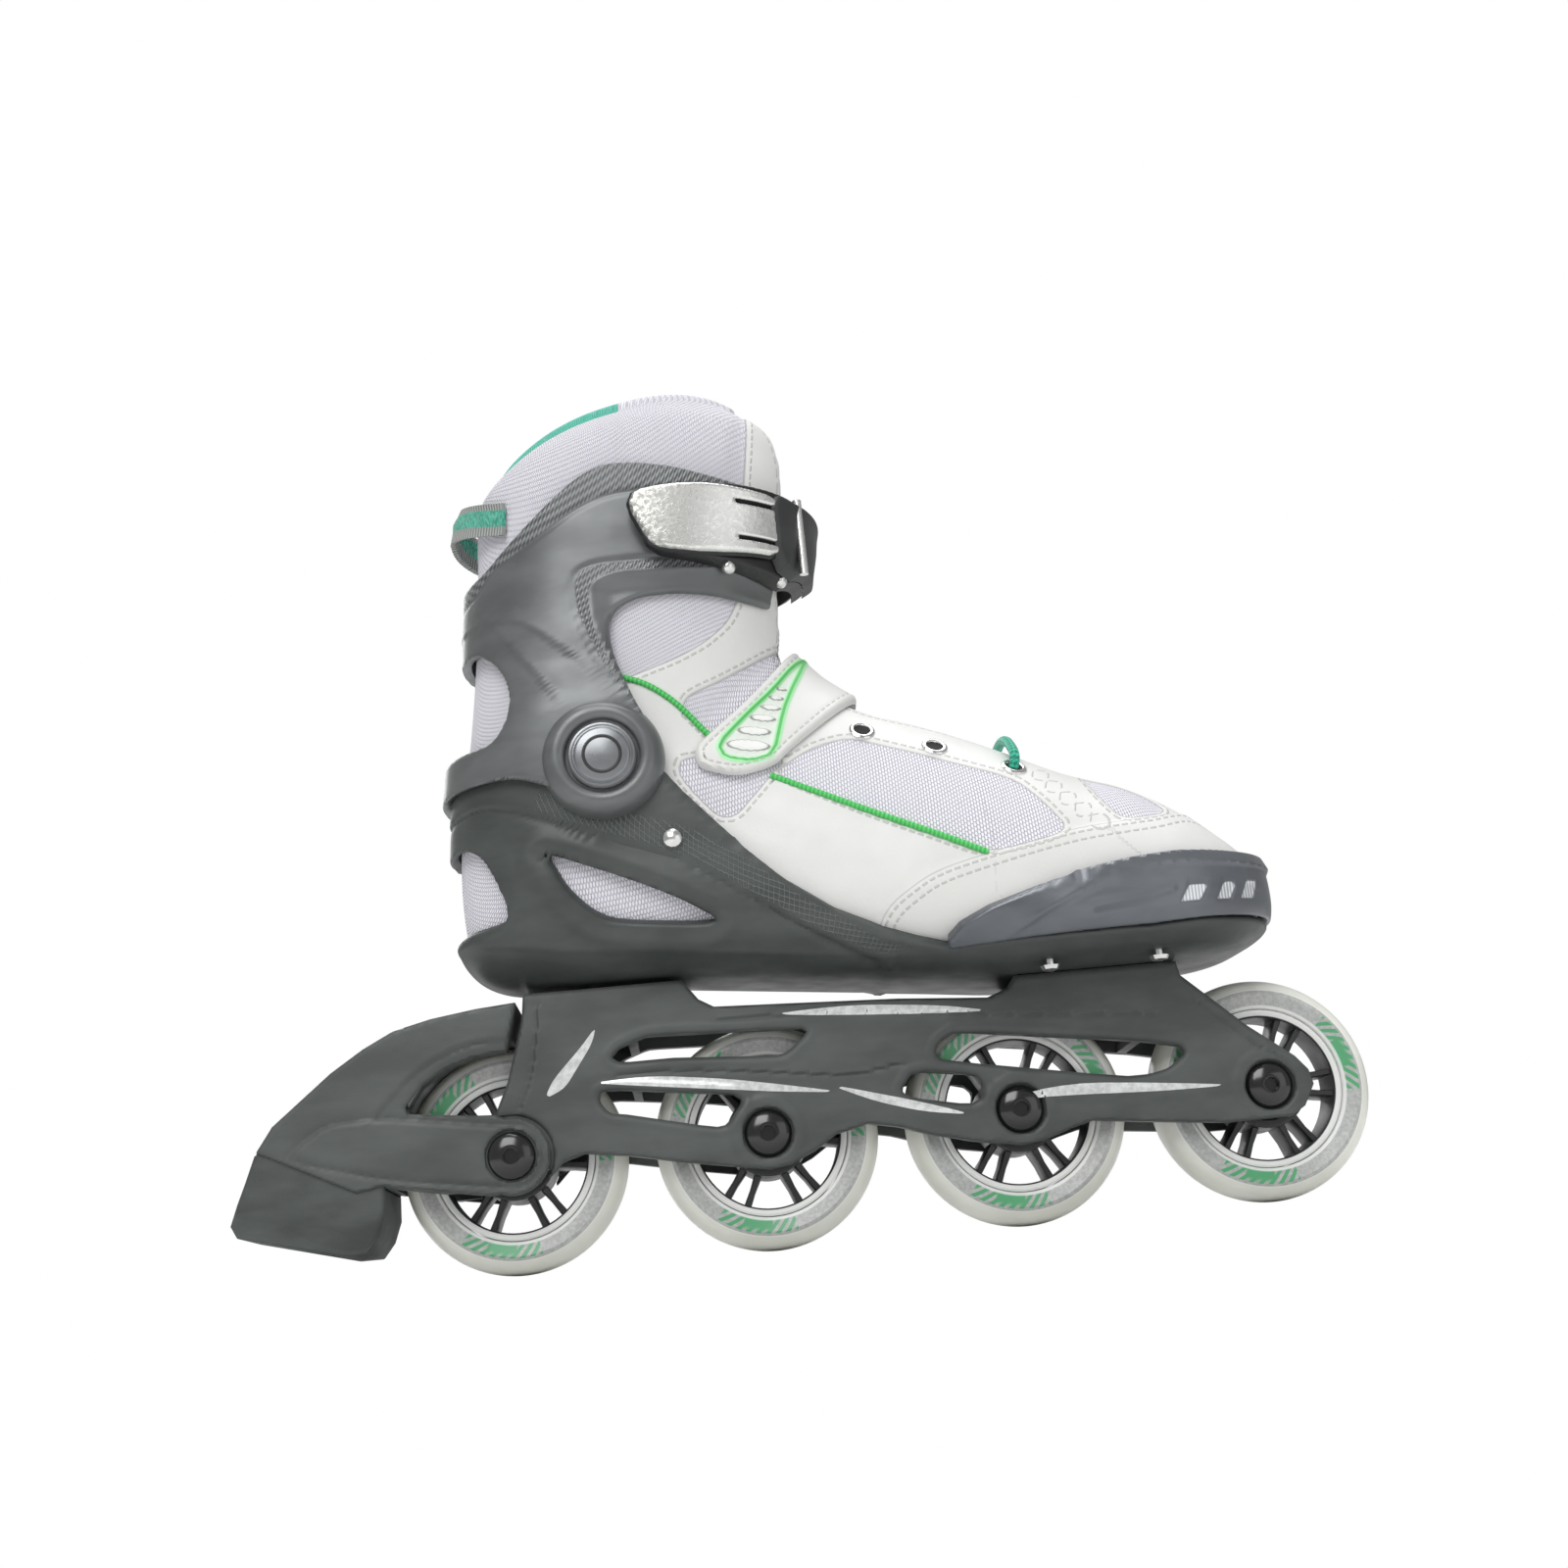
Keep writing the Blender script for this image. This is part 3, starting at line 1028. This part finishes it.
def make_buckle():
    strap = level_band("strap", degree_rows(74, -52, 9, STRAP_LOW, STRAP_HIGH), STRAP_INSIDE,
                       STRAP_INSIDE + STRAP_THICKNESS)
    side = math.radians(-46)
    anchor_at = surface_frame(section_at_height(side, (STRAP_LOW + STRAP_HIGH) / 2, STRAP_INSIDE), side)
    strap = cut(strap, rod("anchor_hole", 2.2 + GAP, anchor_at[0], anchor_at[0] + anchor_at[1] * 20, 10))
    finish_piece(strap, "ladder_strap", BLACK_PLASTIC, cuff_axis)
    out = STRAP_INSIDE + STRAP_THICKNESS + GAP
    profile = [(0, out + 1.6), (2.4, out + 1.4), (4.0, out), (2.2, out), (2.2, CUFF_OUTSIDE_HIGH + GAP),
               (0, CUFF_OUTSIDE_HIGH + GAP)]
    anchor = turned("anchor", profile, 12, (0, 0, 0), "Z")
    anchor.rotation_mode = "QUATERNION"
    anchor.rotation_quaternion = anchor_at[1].to_track_quat("Z", "Y")
    anchor.location = anchor_at[0] * MM
    finish_piece(bake(anchor), "strap_anchor", STEEL, cuff_axis)

    pin_angle = math.radians(PIN_DEG)
    pin_section = section_at_height(pin_angle, (BUCKLE_LOW + BUCKLE_HIGH) / 2)
    pin, normal = surface_frame(pin_section, pin_angle)
    normal.z = 0
    pin = pin + normal.normalized() * PIN_OUT
    axis_low, axis_high = BUCKLE_LOW + 0.6, BUCKLE_HIGH - 0.6
    base = level_band("base", degree_rows(12, 84, 9, BUCKLE_LOW, BUCKLE_HIGH), CUFF_OUTSIDE_HIGH + GAP,
                      CUFF_OUTSIDE_HIGH + GAP + BUCKLE_PLATE)
    lever_axis = joint_empty("lever_axis", *pin)
    # Two cheeks stand on the plate beside the strap and hold the pin.
    for low, high in ((BUCKLE_LOW + 0.2, LEVER_LOW - GAP), (LEVER_HIGH + GAP, BUCKLE_HIGH - 0.2)):
        cheek = rod("cheek", 3.4, (pin.x, pin.y, low), (pin.x, pin.y, high), 14)
        plate_middle = CUFF_OUTSIDE_HIGH + GAP + BUCKLE_PLATE * 0.55
        section = section_at_height(pin_angle, (low + high) / 2, plate_middle)
        root = boot_point(section, pin_angle, plate_middle)
        base = join(base, join(cheek, slab("stem", root, pin, 2.4, low, high)))
    base = cut(base, rod("pin_hole", BUCKLE_PIN_RADIUS + GAP, (pin.x, pin.y, 0), (pin.x, pin.y, 500), 12))
    finish_piece(base, "buckle_base", BLACK_PLASTIC, cuff_axis)
    pin_rod = rod("pin", BUCKLE_PIN_RADIUS, (pin.x, pin.y, axis_low), (pin.x, pin.y, axis_high), 12)
    finish_piece(pin_rod, "lever_pin", STEEL, cuff_axis)

    lever = level_band("lever", degree_rows(PIN_DEG + 5, 92, 10, LEVER_LOW, LEVER_HIGH), LEVER_INSIDE,
                       LEVER_INSIDE + LEVER_THICKNESS)
    knuckle = rod("knuckle", 3.1, (pin.x, pin.y, LEVER_LOW), (pin.x, pin.y, LEVER_HIGH), 14)
    reach_angle = pin_angle + BRIDGE_ANGLE * (DRAWN_WIDTH / BOOT_WIDTH) ** 2
    reach_out = LEVER_INSIDE + LEVER_THICKNESS / 2
    reach_section = section_at_height(reach_angle, (LEVER_LOW + LEVER_HIGH) / 2, reach_out)
    reach = boot_point(reach_section, reach_angle, reach_out)
    bridge = slab("bridge", Vector((pin.x, pin.y, 0)), Vector((reach.x, reach.y, 0)), 1.8, LEVER_LOW,
        LEVER_HIGH)
    lever = join(lever, join(knuckle, bridge))
    lever = cut(lever, rod("pin_hole", BUCKLE_PIN_RADIUS + GAP, (pin.x, pin.y, 0), (pin.x, pin.y, 500), 12))
    finish_piece(lever, "buckle_lever", LEVER_SILVER, lever_axis)
    lever_axis.parent = cuff_axis
    lever_axis.location = Vector(pin) * MM - cuff_axis.location


def slab(name, start, end, half, low, high):
    """An upright slab between two places seen from above."""
    along = Vector((end[0] - start[0], end[1] - start[1], 0)).normalized()
    across = Vector((-along.y, along.x, 0)) * half
    first, last = Vector((*start[:2], 0)), Vector((*end[:2], 0))
    corners = [first + across, last + across, last - across, first - across]
    points = [Vector((c.x, c.y, z)) for z in (low, high) for c in corners]
    faces = [(0, 3, 2, 1), (4, 5, 6, 7), (0, 1, 5, 4), (1, 2, 6, 5), (2, 3, 7, 6), (3, 0, 4, 7)]
    made = mesh_object(name, points, faces)
    face_out(made)
    return made


def face_out(obj):
    bm = bmesh.new()
    bm.from_mesh(obj.data)
    bmesh.ops.recalc_face_normals(bm, faces=bm.faces)
    bm.to_mesh(obj.data)
    bm.free()


def make_straps():
    rows = [
        (78, 10.9, 12.05), (66, 10.65, 11.9), (54, 10.3, 11.6), (42, 9.85, 11.2), (28, 9.5, 11.0),
        (14, 9.3, 10.9), (0, 9.2, 10.9), (-14, 9.3, 10.9), (-28, 9.5, 11.0), (-42, 9.85, 11.2),
        (-54, 10.3, 11.6), (-66, 10.65, 11.9), (-78, 10.9, 12.05),
    ]
    along = [(math.radians(a), low, high) for a, low, high in rows]
    strap = boot_band("instep", along, 3 * GAP, 3 * GAP + WEBBING_THICKNESS + 0.6)
    finish_piece(strap, "instep_strap", WHITE_VINYL)

    points = []
    for degrees in range(138, 223, 12):
        share = 1 - abs(degrees - 180) / 42.0
        lift = share * share * (3 - 2 * share)
        angle = math.radians(degrees)
        low, high = shaft_z(162 + 9 * share), shaft_z(174 + 9 * share)
        s_low, s_high = section_at_height(angle, low), section_at_height(angle, high)
        inside = GAP + 0.2 + LOOP_STANDOFF * lift
        outside = inside + WEBBING_THICKNESS
        points += [boot_point(s_low, angle, inside), boot_point(s_high, angle, inside)]
        points += [boot_point(s_high, angle, outside), boot_point(s_low, angle, outside)]
    finish_piece(four_sided("loop", points), "pull_loop", TEAL, cuff_axis)


def four_sided(name, points):
    """A bar through sections of four corners each."""
    count = len(points) // 4
    faces = [
        (4 * i + k, 4 * i + (k + 1) % 4, 4 * i + 4 + (k + 1) % 4, 4 * i + 4 + k)
        for i in range(count - 1)
        for k in range(4)
    ]
    faces += [(3, 2, 1, 0), tuple(4 * (count - 1) + k for k in range(4))]
    made = mesh_object(name, points, faces)
    face_out(made)
    return made


def lace_route():
    """The lace's line: a tail inside the boot, out through an eyelet, over the tongue, and the same on
    the other side."""
    half = []
    place, angle = EYELETS[4]
    here, normal = surface_frame(place, angle)
    inside = -LINING - LACE_RADIUS - 1.2
    for s, degrees in ((8.0, 84), (10.0, 86), (11.5, 88), (12.5, 92), (13.0, 104), (12.5, 118), (11.0, 118),
                       (9.5, 114), (8.2, 106)):
        half.append(boot_point(s, math.radians(degrees), inside))
    half = half[::-1]
    half += [here - normal * 14, here - normal * 6, here + normal * 4.4]
    half += [boot_point(place, math.radians(27), 5.2), boot_point(place, math.radians(13), 4.6)]
    other = [Vector((p.x, -p.y, p.z)) for p in reversed(half)]
    return half + [boot_point(place, 0, 4.3)] + other


def make_lace():
    curve = bpy.data.curves.new("lace", "CURVE")
    curve.dimensions = "3D"
    curve.bevel_depth = LACE_RADIUS * MM
    curve.bevel_resolution = 2
    curve.use_fill_caps = True
    route = lace_route()
    line = curve.splines.new("POLY")
    line.points.add(len(route) - 1)
    for point, place in zip(line.points, route):
        point.co = (*(place * MM), 1)
    obj = link(bpy.data.objects.new("lace", curve))
    finish_piece(bake(obj), "lace", TEAL)


# ---------------------------------------------------------------- the whole skate

BOOT_HALF_AT_PIVOT = 39.0 * BOOT_WIDTH / DRAWN_WIDTH

for index, axle_x in enumerate(AXLES_X):
    make_wheel(index + 1, axle_x, REAR_SEAT if index == 0 else FRAME_HALF_WIDTH - COUNTERBORE)
make_frame()
make_mount_bolts()
make_brake()
make_shell()
make_fasteners()
make_rivets()
make_cuff()
make_soft_boot()
make_eyelets()
make_buckle()
make_straps()
make_lace()

cutter_collection.hide_render = True
for leftover in list(cutter_collection.objects):
    bpy.data.objects.remove(leftover, do_unlink=True)
bpy.context.view_layer.update()
